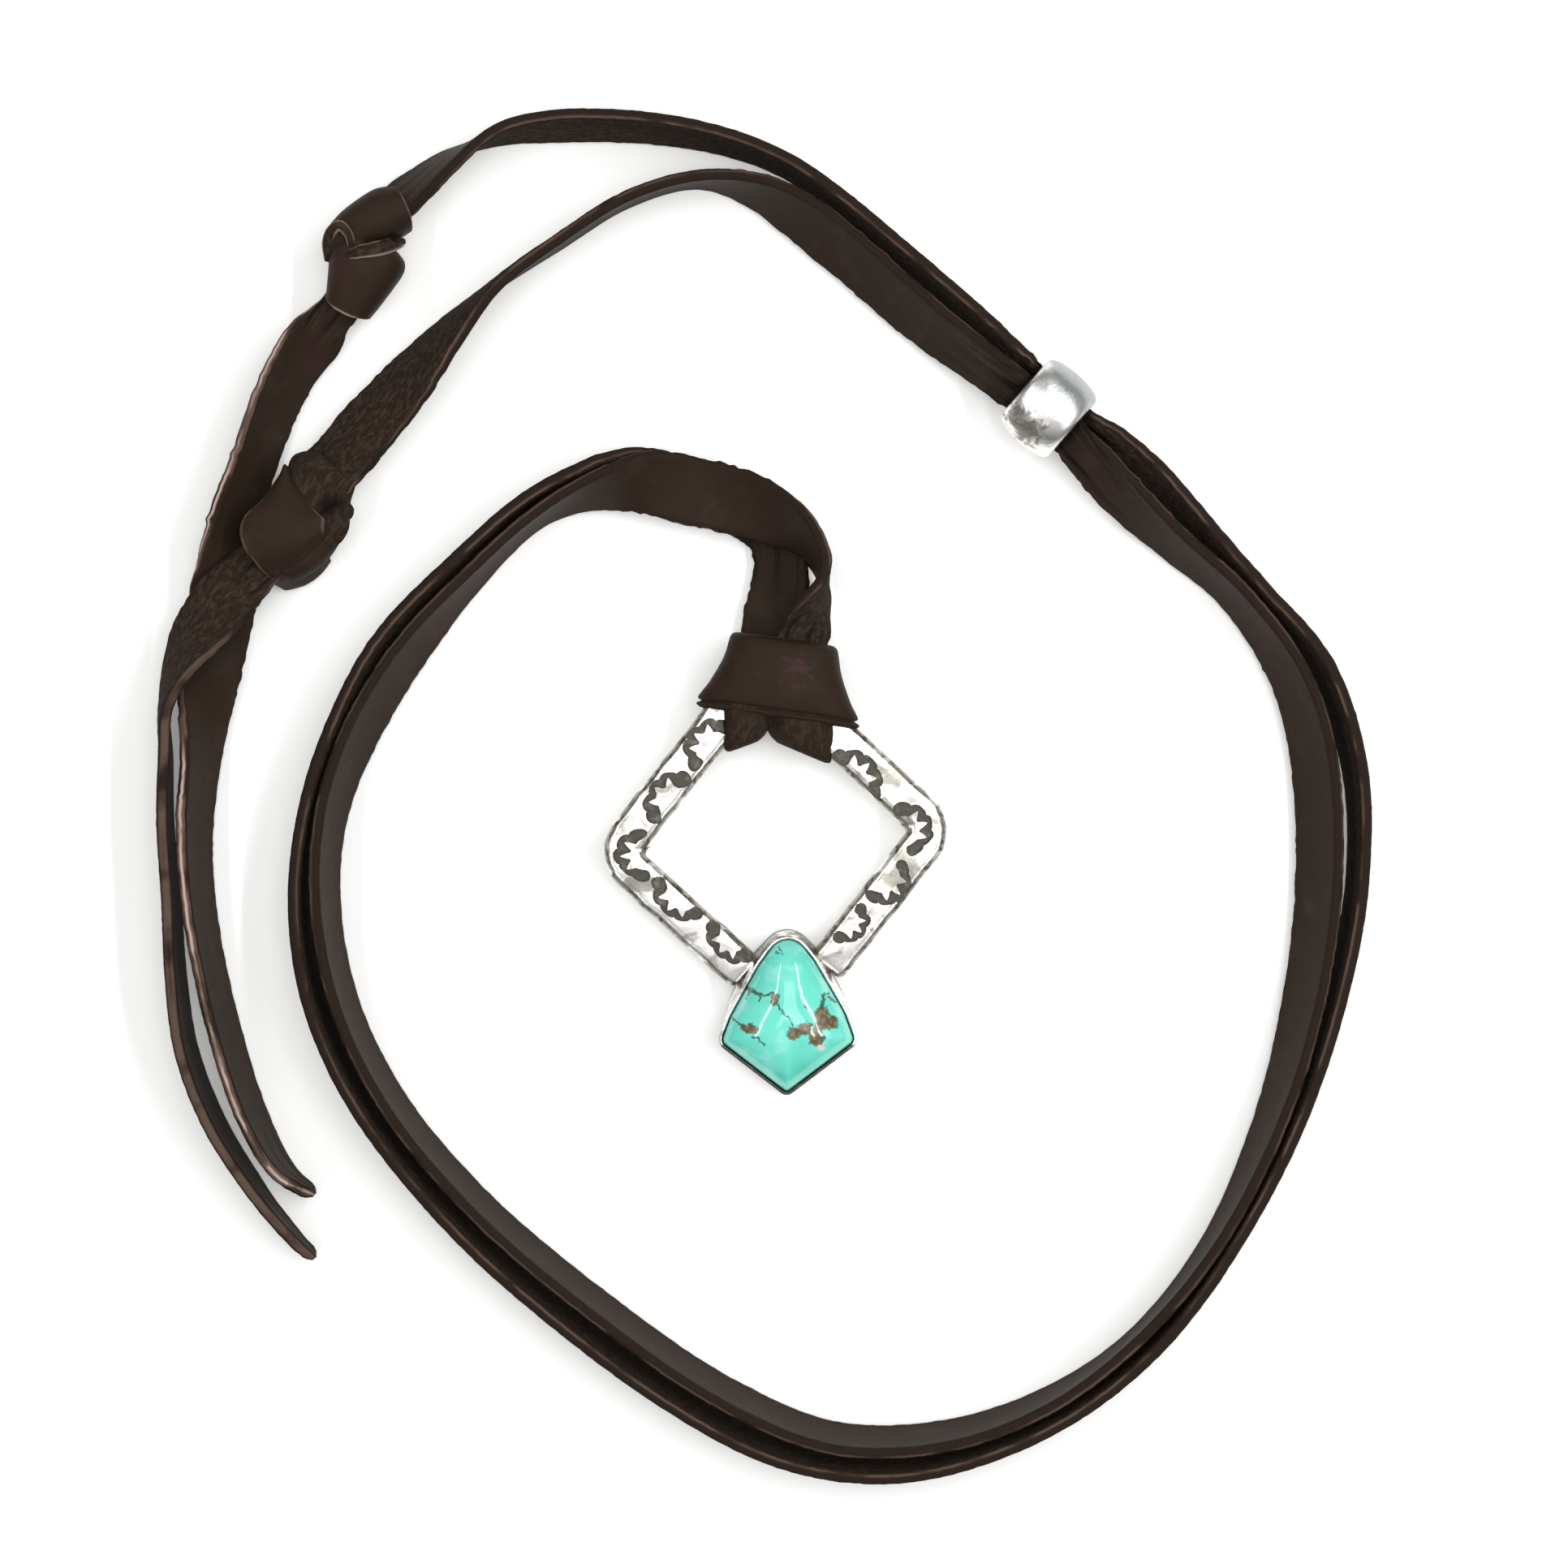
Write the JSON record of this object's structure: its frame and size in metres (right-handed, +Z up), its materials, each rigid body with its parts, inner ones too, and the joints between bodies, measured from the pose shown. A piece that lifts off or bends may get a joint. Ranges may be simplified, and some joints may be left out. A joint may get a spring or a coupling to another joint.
{
  "type": "necklace",
  "caption": "Silver pendant with a turquoise stone on a doubled flat brown leather lace with a silver slide bead and two knotted ends",
  "frame": {"origin": "on the table, under the middle of the silver pendant", "axes": "+Y from the stone towards the hitch, +X to the right of someone looking down on the pendant, +Z up off the table"},
  "size_m": [0.1398, 0.158, 0.011],
  "materials": {
    "silver": "polished with dark oxide in the stamping",
    "turquoise": "polished stone with a brown matrix",
    "leather": "dark brown grain, raw edges, rough flesh side"
  },
  "bodies": {
    "root": {"silver_frame": "silver", "turquoise_stone": "turquoise", "slide_bead": "silver", "lace_hitch": "leather", "strand_a": "leather", "strand_b": "leather", "knot_a": "leather", "knot_b": "leather", "tail_a": "leather", "tail_b": "leather"}
  },
  "joints": []
}
